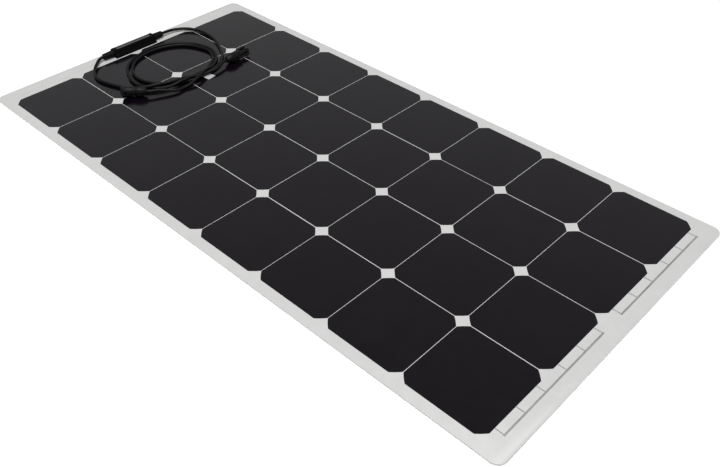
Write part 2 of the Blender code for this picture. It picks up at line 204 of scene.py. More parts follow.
# Plastics: dark and light tone, roughness, scale of the grain, its depth in millimetres, specular level
PLASTICS = {
    "box_plastic": ((0.0009, 0.0009, 0.0010), (0.0020, 0.0020, 0.0022), 0.5, 2600, 0.04, 0.06),
    # The rails' light grey is a painted highlight along the lid's top, not a lighter plastic.
    "box_top_painted_highlight": ((0.052, 0.052, 0.053), (0.068, 0.068, 0.069), 0.4, 2600, 0.04, 0.4),
    "rubber": ((0.0020, 0.0020, 0.0020), (0.0042, 0.0042, 0.0042), 0.55, 1800, 0.05, 0.14),
    "lead_jacket": ((0.0024, 0.0024, 0.0026), (0.0042, 0.0042, 0.0045), 0.42, 1400, 0.03, 0.14),
    "connector_plastic": ((0.0022, 0.0022, 0.0024), (0.0042, 0.0042, 0.0046), 0.42, 2400, 0.04, 0.14),
    "diode_epoxy": ((0.012, 0.012, 0.013), (0.02, 0.02, 0.022), 0.3, 1500, 0.03, 0.5),
}


def joint_y(name):
    return next(j for j in frame["joints"] if j["name"] == name)["pos_m"][1]


def link(thing):
    bpy.context.scene.collection.objects.link(thing)
    return thing


# Camera, floor and light


def make_camera():
    heading, drop, roll = (math.radians(a) for a in (CAMERA_HEADING, CAMERA_DROP, CAMERA_ROLL))
    look = Vector(
        (-math.sin(heading) * math.cos(drop), math.cos(heading) * math.cos(drop), -math.sin(drop))
    )
    right = look.cross(Vector((0, 0, 1))).normalized()
    down = look.cross(right)
    across = right * math.cos(roll) + down * math.sin(roll)
    up = right * math.sin(roll) - down * math.cos(roll)
    turn = Matrix((across, up, -look)).transposed().to_4x4()
    camera = link(bpy.data.objects.new("camera", bpy.data.cameras.new("camera")))
    camera.matrix_world = Matrix.Translation(CAMERA_PLACE) @ turn
    camera.data.lens = CAMERA_LENS
    camera.data.sensor_width = 36
    camera.data.clip_start = 0.02
    camera.data.clip_end = 60
    bpy.context.scene.camera = camera


def make_lamp():
    data = bpy.data.lights.new("overhead", "AREA")
    data.shape = "SQUARE"
    data.size = LAMP_SIDE
    data.energy = LAMP_WATTS
    lamp = link(bpy.data.objects.new("overhead", data))
    lamp.location = LAMP_PLACE
    lamp.rotation_euler = (LAMP_TARGET - LAMP_PLACE).to_track_quat("-Z", "Y").to_euler()


def make_studio():
    scene = bpy.context.scene
    scene.view_settings.view_transform = "Standard"
    world = bpy.data.worlds.new("studio")
    scene.world = world
    world.use_nodes = True
    nodes, links = world.node_tree.nodes, world.node_tree.links
    # Bright low down and dim overhead, so that flat dark surfaces brighten with distance.
    direction = nodes.new("ShaderNodeTexCoord")
    split = nodes.new("ShaderNodeSeparateXYZ")
    ramp = nodes.new("ShaderNodeValToRGB")
    links.new(direction.outputs["Generated"], split.inputs["Vector"])
    links.new(split.outputs["Z"], ramp.inputs["Fac"])
    links.new(ramp.outputs["Color"], nodes["Background"].inputs["Color"])
    stops = ramp.color_ramp.elements
    for place, level in SKY:
        stop = stops[0] if place == 0 else stops[1] if place == 1 else stops.new(place)
        stop.position = place
        stop.color = (level, level, level, 1)

    bpy.ops.mesh.primitive_plane_add(size=FLOOR_SIDE)
    floor = bpy.context.object
    floor.name = "floor"
    floor.location.z = FLOOR_LEVEL
    paint = bpy.data.materials.new("floor")
    paint.use_nodes = True
    bsdf = paint.node_tree.nodes["Principled BSDF"]
    bsdf.inputs["Base Color"].default_value = (FLOOR_TONE, FLOOR_TONE, FLOOR_TONE, 1)
    bsdf.inputs["Roughness"].default_value = 0.85
    bsdf.inputs["Specular IOR Level"].default_value = 0.1
    floor.data.materials.append(paint)

    make_lamp()


# Cords


def smooth_route(points):
    """Evenly spaced points on a smooth curve through the given ones, and its length."""
    knots = [Vector(point) for point in points]
    knots = [2 * knots[0] - knots[1]] + knots + [2 * knots[-1] - knots[-2]]
    dense = []
    for i in range(1, len(knots) - 2):
        a, b, c, d = knots[i - 1 : i + 3]
        for t in np.linspace(0, 1, 12, endpoint=False):
            dense.append(
                0.5 * (2 * b + (c - a) * t + (2 * a - 5 * b + 4 * c - d) * t**2)
                + 0.5 * (3 * b - a - 3 * c + d) * t**3
            )
    dense.append(knots[-2])
    dense = np.array(dense)
    walked = np.concatenate([[0], np.cumsum(np.linalg.norm(np.diff(dense, axis=0), axis=1))])
    at = np.linspace(0, walked[-1], max(2, round(walked[-1] / LEAD_STEP)) + 1)
    return np.stack([np.interp(at, walked, dense[:, k]) for k in range(3)], axis=1), walked[-1]


def on_coil(angle, out, height):
    """A point at an angle round the coil, a distance out from its centreline."""
    turn = math.radians(angle)
    a, b = COIL_HALF
    normal = Vector((math.cos(turn) / a, math.sin(turn) / b)).normalized()
    spot = COIL_CENTRE + Vector((a * math.cos(turn), b * math.sin(turn))) + normal * out * MM
    return (spot.x, spot.y, height * MM)


def coil_run(knots):
    """Points along the coil through (angle, out, height) knots, smooth in all three."""
    angles = [k[0] for k in knots]
    sense = 1 if angles[-1] > angles[0] else -1
    count = round(abs(angles[-1] - angles[0]) / COIL_STEP)
    points = []
    for angle in np.linspace(angles[0], angles[-1], count + 1):
        i = 0
        while i < len(knots) - 2 and (angle - angles[i + 1]) * sense > 0:
            i += 1
        t = (angle - angles[i]) / (angles[i + 1] - angles[i])
        t = t * t * (3 - 2 * t)
        out = knots[i][1] + (knots[i + 1][1] - knots[i][1]) * t
        height = knots[i][2] + (knots[i + 1][2] - knots[i][2]) * t
        points.append(on_coil(angle, out, height))
    return points


def in_metres(route):
    return [tuple(value * MM for value in point) for point in route]


def tail_points(tail, heading, alongs):
    """Points on a connector's axis at distances from its cap's cable end."""
    return [
        (tail.x + math.cos(heading) * s * MM, tail.y + math.sin(heading) * s * MM, CONNECTOR_Z)
        for s in alongs
    ]


def gland_points(node, side, outs):
    """Points straight out of a strain relief."""
    low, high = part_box(node)
    x = high[0] if side > 0 else low[0]
    y, z = (low[1] + high[1]) / 2, (low[2] + high[2]) / 2
    return [(x + side * out * MM, y, z) for out in outs]


def lead(name, points):
    route, length = smooth_route(points)
    curve = bpy.data.curves.new(name, "CURVE")
    curve.dimensions = "3D"
    curve.bevel_depth = LEAD_D / 2
    curve.bevel_resolution = 6
    curve.use_fill_caps = True
    spline = curve.splines.new("POLY")
    spline.points.add(len(route) - 1)
    for point, position in zip(spline.points, route):
        point.co = (*position, 1)
    spline.use_smooth = True
    thing = link(bpy.data.objects.new(name, curve))
    return thing, length


def make_leads():
    """Both leads whole: from the box, round the coil a turn and a quarter, and out to a connector."""
    left_coil = (
        (220, 4, 11.4),
        (232, -1, 11.4),
        (243, -5.5, 11.3),
        (254, -8.5, 9.8),
        (266, -10.8, 6.4),
        (278, -10.2, 5.6),
        (300, -8, 5.6),
        (330, -5.5, 5.6),
        (350, -4.5, 5.6),
        (372, -7.5, 5.6),
        (410, -6, 5.6),
        (450, -6, 5.6),
        (480, -7, 5.6),
        (510, -9.5, 5.6),
        (540, -10, 5.6),
        (570, -9.5, 5.6),
        (590, -9, 5.6),
        (604, -8, 5.6),
        (616, -3, 5.6),
        (626, 0.5, 5.6),
        (634, 1.6, 6.2),
        (642, 2.2, 7.5),
    )
    right_coil = (
        (-8, 19, 5.6),
        (-22, 14, 5.6),
        (-40, 9.5, 5.6),
        (-55, 6.5, 5.6),
        (-70, 0.5, 5.6),
        (-77, -2.8, 5.6),
        (-84, -4.2, 5.8),
        (-92, -4.4, 8.2),
        (-99, -2.5, 11),
        (-106, -1, 11.3),
        (-112, 1, 11.2),
        (-120, 4, 8.8),
        (-128, 6, 6.0),
        (-140, 7, 5.6),
        (-150, 7, 5.6),
        (-168, 6, 5.6),
        (-180, 3, 5.6),
        (-195, -1, 5.6),
        (-220, 0, 5.6),
        (-250, 0.5, 5.6),
        (-280, 4, 5.6),
        (-300, 4, 5.6),
        (-325, 0.5, 5.6),
        (-345, 0.5, 5.6),
        (-365, 2, 5.6),
        (-385, 1, 5.6),
        (-402, 0, 5.6),
        (-416, -1.5, 6.4),
        (-430, -3, 9.8),
        (-438, -0.5, 12.1),
        (-448, 4, 12.0),
        (-456, 9, 10.6),
        (-464, 13.5, 7.8),
        (-472, 17, 6.0),
    )
    left_points = (
        gland_points("strain_relief_left", -1, (0.3, 4.3))
        + in_metres(LEFT_ROUTE)
        + in_metres(LEFT_JOIN)
        + coil_run(left_coil)
        + in_metres(PLUG_JOIN)
        + in_metres(PLUG_ROUTE)
        + tail_points(PLUG_TAIL, PLUG_HEADING, (-7, 0, 9.7))
    )
    right_points = (
        gland_points("strain_relief_right", 1, (0.3, 4.3))
        + in_metres(RIGHT_ROUTE)
        + coil_run(right_coil)
        + in_metres(SOCKET_ROUTE)
        + tail_points(SOCKET_TAIL, SOCKET_HEADING, (-7, 0, 9.7))
    )
    return lead("left_lead", left_points), lead("right_lead", right_points)


# Materials: every one is procedural, in object coordinates, which are metres of the frame


class Look:
    """A Principled material with a little node shorthand."""

    def __init__(self, name, roughness, metallic=0.0, specular=0.5):
        self.material = bpy.data.materials.new(name)
        self.material.use_nodes = True
        self.tree = self.material.node_tree
        self.shader = self.tree.nodes["Principled BSDF"]
        self.shader.inputs["Roughness"].default_value = roughness
        self.shader.inputs["Metallic"].default_value = metallic
        self.shader.inputs["Specular IOR Level"].default_value = specular
        self.place = self.node("ShaderNodeTexCoord").outputs["Object"]

    def node(self, kind, **values):
        made = self.tree.nodes.new(kind)
        for key, value in values.items():
            setattr(made, key, value)
        return made

    def join(self, output, target):
        self.tree.links.new(output, target)

    def stretched(self, scale):
        mapping = self.node("ShaderNodeMapping")
        mapping.inputs["Scale"].default_value = scale
        self.join(self.place, mapping.inputs["Vector"])
        return mapping.outputs["Vector"]

    def noise(self, scale, detail, where=None):
        made = self.node("ShaderNodeTexNoise")
        made.inputs["Scale"].default_value = scale
        made.inputs["Detail"].default_value = detail
        self.join(where or self.place, made.inputs["Vector"])
        return made.outputs["Fac"]

    def cells(self, scale):
        made = self.node("ShaderNodeTexVoronoi", feature="SMOOTH_F1")
        made.inputs["Scale"].default_value = scale
        self.join(self.place, made.inputs["Vector"])
        return made.outputs["Distance"]

    def bands(self, scale, direction):
        made = self.node("ShaderNodeTexWave", wave_type="BANDS", bands_direction=direction)
        made.inputs["Scale"].default_value = scale
        self.join(self.place, made.inputs["Vector"])
        return made.outputs["Fac"]

    def remap(self, value, low, high, out_low, out_high):
        made = self.node("ShaderNodeMapRange")
        limits = (("From Min", low), ("From Max", high), ("To Min", out_low), ("To Max", out_high))
        for key, number in limits:
            made.inputs[key].default_value = number
        self.join(value, made.inputs["Value"])
        return made.outputs["Result"]

    def colour(self, factor, dark, light):
        """Colours the surface between two tones."""
        made = self.node("ShaderNodeMix", data_type="RGBA")
        self.join(factor, made.inputs["Factor"])
        for key, tone in (("A", dark), ("B", light)):
            socket = next(s for s in made.inputs if s.name == key and s.type == "RGBA")
            socket.default_value = (*tone, 1)
        mixed = next(s for s in made.outputs if s.type == "RGBA")
        self.join(mixed, self.shader.inputs["Base Color"])

    def roughness(self, scale, detail, low, high):
        """Varies the roughness between two values with a noise."""
        uneven = self.remap(self.noise(scale, detail), 0.3, 0.7, low, high)
        self.join(uneven, self.shader.inputs["Roughness"])

    def bump(self, height, strength, depth):
        made = self.node("ShaderNodeBump")
        made.inputs["Strength"].default_value = strength
        made.inputs["Distance"].default_value = depth
        self.join(height, made.inputs["Height"])
        self.join(made.outputs["Normal"], self.shader.inputs["Normal"])


def silicon_look():
    """Near-black silicon under the film, faintly mottled, with the film's fine embossing."""
    look = Look("silicon", 0.15)
    mottle = look.remap(look.noise(22, 3), 0.35, 0.65, 0, 1)
    look.colour(mottle, (0.0024, 0.0012, 0.0028), (0.0031, 0.0018, 0.0037))
    look.roughness(60, 4, 0.13, 0.17)
    look.bump(look.cells(FILM_GRAIN), 0.12, 0.05 * MM)
    return look.material


def film_look():
    """The white laminate seen through the same embossed film."""
    look = Look("white_laminate", 0.26, specular=0.35)
    tone = look.remap(look.noise(30, 4), 0.3, 0.7, 0, 1)
    look.colour(tone, (0.440, 0.442, 0.438), (0.465, 0.465, 0.461))
    look.roughness(60, 4, 0.22, 0.3)
    look.bump(look.cells(FILM_GRAIN), 0.15, 0.05 * MM)
    return look.material


def back_look():
    """The matt backing: white, with a faint woven grain."""
    look = Look("back_sheet", 0.6)
    both = look.node("ShaderNodeMath", operation="MULTIPLY")
    for i, direction in enumerate("XY"):
        look.join(look.bands(WEAVE, direction), both.inputs[i])
    tone = look.remap(look.noise(18, 4), 0.3, 0.7, 0, 1)
    look.colour(tone, (0.66, 0.66, 0.65), (0.72, 0.72, 0.71))
    look.bump(both.outputs[0], 0.2, 0.05 * MM)
    return look.material


def metal_look(name, dark, light, roughness, metallic):
    """Tinned metal with fine streaks across it."""
    look = Look(name, roughness, metallic)
    streaks = look.noise(500, 4, look.stretched((0.08, 1, 1)))
    look.colour(look.remap(streaks, 0.35, 0.65, 0, 1), dark, light)
    look.roughness(300, 3, roughness - 0.08, roughness + 0.1)
    look.bump(streaks, 0.1, 0.03 * MM)
    return look.material


def plastic_look(name, dark, light, roughness, grain, depth, specular):
    """Moulded plastic or rubber: a fine grain, a slight bloom and uneven gloss."""
    look = Look(name, roughness, specular=specular)
    bloom = look.remap(look.noise(90, 5), 0.35, 0.7, 0, 1)
    look.colour(bloom, dark, light)
    look.roughness(220, 4, roughness - 0.06, roughness + 0.1)
    look.bump(look.noise(grain, 3), 0.35, depth * MM)
    return look.material


def paper_look():
    look = Look("label_paper", 0.55)
    fibres = look.noise(1500, 4, look.stretched((1, 0.25, 1)))
    look.colour(look.remap(fibres, 0.3, 0.7, 0, 1), (0.36, 0.36, 0.36), (0.40, 0.40, 0.40))
    look.bump(fibres, 0.2, 0.04 * MM)
    return look.material


# Shapes


def from_bmesh(form, name, material):
    bmesh.ops.recalc_face_normals(form, faces=form.faces)
    mesh = bpy.data.meshes.new(name)
    form.to_mesh(mesh)
    form.free()
    mesh.materials.append(material)
    return link(bpy.data.objects.new(name, mesh))


def smooth(thing, sharp):
    """Shades a piece smooth except at edges sharper than an angle in degrees."""
    thing.data.shade_smooth()
    thing.data.set_sharp_from_angle(angle=math.radians(sharp))


def lofted(name, rings, material, sharp):
    """A closed solid through equal rings of points, smooth below an angle."""
    form = bmesh.new()
    made = [[form.verts.new(point) for point in ring] for ring in rings]
    count = len(rings[0])
    for before, after in zip(made, made[1:]):
        for i in range(count):
            following = (i + 1) % count
            form.faces.new((before[i], before[following], after[following], after[i]))
    form.faces.new(made[0])
    form.faces.new(made[-1])
    thing = from_bmesh(form, name, material)
    smooth(thing, sharp)
    return thing


def slab_ring(y, half, levels, edges, inset):
    """A section of a thin slab across X, with a lower and an upper edge rounded."""
    low, high = levels[0] + min(inset, edges[0]), levels[1] - min(inset, edges[1])
    turns = [math.radians(30 * step) for step in range(4)]
    corner = []
    for turn in turns:
        x = half - edges[0] * (1 - math.sin(turn))
        corner.append((x, low + edges[0] * (1 - math.cos(turn))))
    for turn in turns:
        x = half - edges[1] * (1 - math.cos(turn))
        corner.append((x, high - edges[1] * (1 - math.sin(turn))))
    return [(x, y, z) for x, z in corner] + [(-x, y, z) for x, z in reversed(corner)]


def corner_inset(from_end, radius):
    """How far a rounded corner pulls the side in, at a distance from the end."""
    if from_end >= radius:
        return 0.0
    return radius - math.sqrt(radius**2 - (radius - from_end) ** 2)


def strip(name, ends, levels, edges, material, rounded):
    """One stretch of a layer of the laminate, fine enough along Y to bend."""
    near, far = ends
    half = CAD_BOX[1][0]
    stations = set(np.round(np.linspace(near, far, round((far - near) / STRIP_STEP) + 1), 7))
    if rounded[0]:
        stations = {s for s in stations if s > near + SHEET_CORNER}
        stations |= {near + value * MM for value in END_STEPS}
    if rounded[1]:
        stations = {s for s in stations if s < far - SHEET_CORNER}
        stations |= {far - value * MM for value in END_STEPS}
    rings = []
    for y in sorted(stations):
        from_end = min(y - near if rounded[0] else math.inf, far - y if rounded[1] else math.inf)
        edge = max(edges)
        lift = edge - math.sqrt(max(0.0, edge**2 - max(0.0, edge - from_end) ** 2))
        reach = half - corner_inset(from_end, SHEET_CORNER)
        rings.append(slab_ring(y, reach, levels, edges, lift))
    return lofted(name, rings, material, 30)


def bend_zone(hinge):
    """The stretch of sheet that bends about a hinge, kept clear of the coil at the box end."""
    y = joint_y(hinge)
    return (0, min(y + BEND_REACH, COIL_EDGE), 0), (0, y - BEND_REACH, 0)


def attach(thing, index, slot_name, *nodes):
    """Hides the parts that a piece replaces, and rides the piece on one panel if it lies wholly to one
    side of its strip's bend zone, else bakes it in place.
    """
    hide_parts(*nodes)
    start, end = bend_zone(HINGES[index])
    ys = [corner[1] for corner in thing.bound_box]
    if min(ys) >= start[1]:
        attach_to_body(thing, PANELS[index])
    elif max(ys) <= end[1]:
        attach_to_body(thing, PANELS[index + 1])
    else:
        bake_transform(thing)


def make_laminate(film, back):
    """Both layers in three strips, cut half way between the hinges."""
    hinges = [joint_y(hinge) for hinge in HINGES]
    cuts = [(before + after) / 2 for before, after in zip(hinges, hinges[1:])]
    cuts = [CAD_BOX[1][1]] + cuts + [CAD_BOX[0][1]]
    layers = (
        ("front", (BACK_TOP, FILM_TOP), (SEAM_ROUND, EDGE_ROUND), film, "front_film"),
        ("back", (0, BACK_TOP), (EDGE_ROUND, SEAM_ROUND), back, "back_sheet"),
    )
    for i, letter in enumerate("abc"):
        ends = (cuts[i + 1], cuts[i])
        rounded = (i == len(HINGES) - 1, i == 0)
        for layer, levels, edges, material, node in layers:
            piece = strip(f"{layer}_{letter}", ends, levels, edges, material, rounded)
            attach(piece, i, node, f"{node}_{i + 1}", f"{node}_{i + 2}")


def strip_of(row):
    """Which strip a row of cells lies in."""
    return next(i for i, last in enumerate(STRIP_ROWS) if row <= last)


def cell_sections(half):
    """Half widths of a cell by the distance along it: straight sides, then the wafer's arcs."""
    straight = math.sqrt(CELL_ARC**2 - half**2)
    angles = np.linspace(math.asin(straight / CELL_ARC), math.asin(half / CELL_ARC), 9)
    arc = [(CELL_ARC * math.sin(angle), CELL_ARC * math.cos(angle)) for angle in angles[1:]]
    middle = [(y, half) for y in np.linspace(-straight, straight, 21)]
    return [(-y, reach) for y, reach in reversed(arc)] + middle + arc


def make_cells(material):
    """Every cell, laid a little unevenly."""
    placing = np.random.default_rng(7)
    for row in range(1, ROWS + 1):
        for column in range(1, COLUMNS + 1):
            node = f"cell_r{row}_c{column}"
            low, high = (Vector(corner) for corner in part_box(node))
            centre, half = (low + high) / 2, (high.x - low.x) / 2
            grow_x, grow_y = (1 + spare / half for spare in CELL_SPREAD)
            slip = Vector([placing.uniform(-reach, reach) for reach in CELL_SLIP])
            sections = cell_sections(half)
            rings = []
            for i, (along, reach) in enumerate(sections):
                rim = CELL_TOP - CELL_EDGE
                top = rim if i in (0, len(sections) - 1) else CELL_TOP
                section = [(reach, CELL_FLOOR), (reach, rim), (reach - CELL_EDGE, top)]
                section += [(-x, z) for x, z in reversed(section)]
                y = centre.y + slip.y + along * grow_y
                rings.append([(centre.x + slip.x + x * grow_x, y, z) for x, z in section])
            cell = lofted(f"solar_{node}", rings, material, 20)
            attach(cell, strip_of(row), "silicon", node)


def plate(name, outline, low, high, material):
    """A flat piece with the given outline."""
    form = bmesh.new()
    lower = [form.verts.new((x, y, low)) for x, y in outline]
    upper = [form.verts.new((x, y, high)) for x, y in outline]
    count = len(outline)
    form.faces.new(list(reversed(lower)))
    form.faces.new(upper)
    for i in range(count):
        form.faces.new((lower[i], lower[(i + 1) % count], upper[(i + 1) % count], upper[i]))
    return from_bmesh(form, name, material)


def comb(rungs, left, right, cell_edge, outward):
    """Outline of a ribbon beside a row of cells, with rungs that reach under the cells."""
    middle = cell_edge + outward * BUS_FROM_CELLS
    tip = cell_edge - outward * RUNG_UNDER_CELL
    outer, inner = middle + outward * BUS_W / 2, middle - outward * BUS_W / 2
    outline = [(left, outer), (right, outer), (right, inner)]
    for x in sorted(rungs, reverse=True):
        low, high = x - RUNG_W / 2, x + RUNG_W / 2
        outline += [(high, inner), (high, tip), (low, tip), (low, inner)]
    outline.append((left, inner))
    return outline


def rungs_of(strings, pitch):
    """Places across the sheet of three rungs to each string's cell."""
    return [string * pitch + step * RUNG_SPACING for string in strings for step in (-1, 0, 1)]


def make_ribbons(material, faint):
    """Bus ribbons at both ends: at the free end they join two strings, beside the box they end."""
    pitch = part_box("cell_r1_c2")[0][0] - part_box("cell_r1_c1")[0][0]
    near_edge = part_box("cell_r8_c1")[0][1]
    far_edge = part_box("cell_r1_c1")[1][1]
    for name, side in (("left", -1), ("right", 1)):
        rungs = rungs_of((side * 0.5, side * 1.5), pitch)
        left, right = min(rungs) - BUS_PAST_RUNG, max(rungs) + BUS_PAST_RUNG
        outline = comb(rungs, left, right, near_edge, -1)
        ribbon = plate(f"near_ribbon_{name}", outline, RIBBON_LOW, RIBBON_TOP, material)
        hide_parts(f"bus_ribbon_{name}")
        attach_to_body(ribbon, PANELS[-1])
    box_low, box_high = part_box("box_base")
    for name, side in (("left", -1), ("right", 1)):
        rungs = rungs_of((side * 1.5,), pitch)
        if side < 0:
            left, right = min(rungs) - BUS_PAST_RUNG, box_low[0] + BUS_UNDER_BOX
        else:
            left, right = box_high[0] - BUS_UNDER_BOX, max(rungs) + BUS_PAST_RUNG
        outline = comb(rungs, left, right, far_edge, 1)
        ribbon = plate(f"far_ribbon_{name}", outline, RIBBON_LOW, RIBBON_TOP, faint)
        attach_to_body(ribbon, PANELS[0])


def block(name, low, high, material, radius=0.0):
    """A box between two corners, with rounded edges where a radius is given."""
    form = bmesh.new()
    bmesh.ops.create_cube(form, size=1.0)
    bmesh.ops.scale(form, vec=Vector(high) - Vector(low), verts=form.verts)
    bmesh.ops.translate(form, vec=(Vector(low) + Vector(high)) / 2, verts=form.verts)
    if radius:
        edges = form.edges[:]
        bmesh.ops.bevel(form, geom=edges, offset=radius, segments=2, profile=0.5, affect="EDGES")
    thing = from_bmesh(form, name, material)
    smooth(thing, 30)
    return thing


def turned(name, profile, material, steps=64):
    """A solid of revolution about Z through (radius, height) points, in millimetres."""
    form = bmesh.new()
    rings = []
    for radius, height in profile:
        if radius == 0:
            rings.append([form.verts.new((0, 0, height * MM))])
            continue
        ring = []
        for step in range(steps):
            angle = 2 * math.pi * step / steps
            x, y = radius * MM * math.cos(angle), radius * MM * math.sin(angle)
            ring.append(form.verts.new((x, y, height * MM)))
        rings.append(ring)
    pairs = list(zip(rings, rings[1:]))
    if profile[0][0] > 0:
        pairs.append((rings[-1], rings[0]))
    for before, after in pairs:
        for step in range(steps):
            following = (step + 1) % steps
            if len(before) == 1:
                form.faces.new((before[0], after[step], after[following]))
            elif len(after) == 1:
                form.faces.new((before[step], after[0], before[following]))
            else:
                form.faces.new((before[step], after[step], after[following], before[following]))
    thing = from_bmesh(form, name, material)
    smooth(thing, 30)
    return thing


def apply_modifiers(thing):
    bpy.context.view_layer.update()
    graph = bpy.context.evaluated_depsgraph_get()
    mesh = bpy.data.meshes.new_from_object(thing.evaluated_get(graph))
    thing.modifiers.clear()
    thing.data = mesh


def cut(thing, other, operation="DIFFERENCE"):
    """Applies a Boolean and deletes the other object."""
    change = thing.modifiers.new("cut", "BOOLEAN")
    change.operation = operation
    change.object = other
    apply_modifiers(thing)
    bpy.data.objects.remove(other)


def soften(thing, width):
    """Rounds the sharp edges."""
    bevel = thing.modifiers.new("soft edges", "BEVEL")
    bevel.width = width
    bevel.segments = 2
    bevel.limit_method = "ANGLE"
    bevel.angle_limit = math.radians(40)
    bevel.harden_normals = False
    apply_modifiers(thing)
    smooth(thing, 35)


def prism(name, section, ends, floor, middle_y, material):
    """A solid along X between two ends, from the near half of its section as (depth, height)."""
    outline = [(middle_y - depth, floor + height) for depth, height in section]
    outline += [(middle_y + depth, floor + height) for depth, height in reversed(section)]
    form = bmesh.new()
    first, last = ([form.verts.new((x, y, z)) for y, z in outline] for x in ends)
    form.faces.new(first)
    form.faces.new(list(reversed(last)))
    for i in range(len(outline)):
        following = (i + 1) % len(outline)
        form.faces.new((first[i], last[i], last[following], first[following]))
    return from_bmesh(form, name, material)


def box_section(low, high):
    """The junction box's section between two heights in millimetres."""
    heights, depths = zip(*BOX_SHAPE)
    levels = [low] + [height for height in heights if low < height < high] + [high]
    return [(float(np.interp(level, heights, depths)) * MM, level * MM) for level in levels]


def make_box(plastic, painted_highlight_plastic):
    """The junction box's base with its catches, and its lid with grooves and two rails, whose light
    grey is a painted highlight along the lid's top.
    """
    low, high = (Vector(corner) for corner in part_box("box_base"))
    lid_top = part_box("box_lid")[1][2]
    middle_y, floor = (low.y + high.y) / 2, low.z
    ends = (low.x, high.x)
    base = prism("junction_base", box_section(0, BOX_SPLIT), ends, floor, middle_y, plastic)
    inset = CATCH_INSET * MM
    for x in np.linspace(low.x + inset, high.x - inset, CATCHES):
        for side in (-1, 1):
            y = middle_y + side * CATCH_Y * MM
            reach = Vector((CATCH_HALF, CATCH_DEPTH, 0)) * MM
            catch_low = Vector((x, y, floor + CATCH_LOW * MM)) - reach
            catch_high = Vector((x, y, high.z + MM)) + reach
            cut(base, block("catch", catch_low, catch_high, plastic))
    soften(base, 0.5 * MM)

    lid_section = box_section(BOX_SPLIT + LID_GAP, BOX_SHAPE[-1][0])
    lid = prism("junction_lid", lid_section, ends, floor, middle_y, plastic)
    half, depth = 0.5 * MM, 0.7 * MM
    groove_low = (low.x - MM, middle_y - half, lid_top - depth)
    groove_high = (high.x + MM, middle_y + half, lid_top + MM)
    cut(lid, block("groove", groove_low, groove_high, plastic))
    half, depth, across = 0.4 * MM, 0.5 * MM, 20 * MM
    for x in (low.x + 6.5 * MM, high.x - 6.5 * MM):
        groove_low = (x - half, middle_y - across, lid_top - depth)
        groove_high = (x + half, middle_y + across, lid_top + MM)
        cut(lid, block("groove", groove_low, groove_high, plastic))
    soften(lid, 0.35 * MM)
    for thing, node in ((base, "box_base"), (lid, "box_lid")):
        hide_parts(node)
        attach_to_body(thing, PANELS[0])

    # Rails in a light grey: the painted highlight along the lid's top.
    for number, side in ((1, -1), (2, 1)):
        near, far = sorted((middle_y + side * 0.9 * MM, middle_y + side * 4.9 * MM))
        rail_low = (low.x + 8 * MM, near, lid_top - 0.3 * MM)
        rail_high = (high.x - 8 * MM, far, lid_top + 0.25 * MM)
        rail = block(f"lid_rail_{number}", rail_low, rail_high, painted_highlight_plastic, 0.2 * MM)
        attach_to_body(rail, PANELS[0])


def make_reliefs(rubber):
    """The ribbed strain reliefs, by the side of the box that they are on."""
    reliefs = {}
    for name, side in (("left", -1), ("right", 1)):
        node = f"strain_relief_{name}"
        low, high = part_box(node)
        length = (high[0] - low[0]) / MM
        radius = (high[2] - low[2]) / 2 / MM
        mouth = LEAD_D / 2 / MM
        profile = [(0, length), (mouth + 0.9, length), (mouth + 1.2, length - 0.3)]
        pitch = (length - 3) / RELIEF_RIBS
        for rib in range(RELIEF_RIBS):
            top = length - 0.4 - rib * pitch
            wide = radius - (RELIEF_RIBS - rib) * RELIEF_TAPER
            profile += [
                (wide - 0.25, top),
                (wide, top - 0.15 * pitch),
                (wide, top - 0.55 * pitch),
                (wide - 0.25, top - 0.65 * pitch),
                (wide - 0.9, top - 0.7 * pitch),
                (wide - 0.9, top - 0.96 * pitch),
            ]
        profile += [(radius - 0.2, 2.6), (radius, 2.3), (radius, -0.25), (0, -0.25)]
        relief = turned(f"relief_{name}", profile, rubber, 48)
        relief.rotation_euler.y = side * math.pi / 2
        start = low[0] if side > 0 else high[0]
        relief.location = (start, (low[1] + high[1]) / 2, (low[2] + high[2]) / 2)
        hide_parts(node)
        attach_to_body(relief, PANELS[0])
        reliefs[name] = relief
    return reliefs


def seat(thing, node, body, tail, heading, roll=0.0):
    """Lays a piece of a connector along its axis, hides the part that it stands for and rides it on a
    body.
    """
    lying = Euler((math.pi / 2, 0, heading + math.pi / 2)).to_matrix()
    thing.rotation_euler = (lying @ Matrix.Rotation(roll, 3, "Z")).to_euler()
    thing.location = (tail.x, tail.y, CONNECTOR_Z)
    bpy.context.view_layer.update()
    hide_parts(node)
    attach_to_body(thing, body)
    return thing


def bar(low, high, turn=0.0):
    """A box in a connector's own millimetres, turned about its axis, to add or to cut."""
    thing = block("bar", [v * MM for v in low], [v * MM for v in high], None)
    thing.rotation_euler.z = turn
    return thing


def notch_collar(housing):
    for notch in range(NOTCHES):
        turn = 2 * math.pi * (notch + 0.5) / NOTCHES
        cut(housing, bar((8.2, -1.1, 17), (9.2, 1.1, 21.2), turn))


def make_cap(name, node, body, tail, heading, plastic):
    """The cap nut with its grip ribs."""
    profile = [
        (6.8, 17),
        (8.3, 17),
        (8.6, 16.7),
        (8.6, 9.3),
        (8.4, 8.6),
        (7.1, 3.6),
        (5.6, 0.8),
        (4.9, 0),
        (3.5, 0),
        (3.3, 0.3),
        (3.3, 3),
        (6.8, 4),
    ]
    cap = turned(name, profile, plastic)
    for rib in range(GRIP_RIBS):
        turn = 2 * math.pi * (rib + 0.5) / GRIP_RIBS
        cut(cap, bar((8.15, -0.75, 10), (9.0, 0.75, 16.2), turn), "UNION")
    soften(cap, 0.15 * MM)
    return seat(cap, node, body, tail, heading)


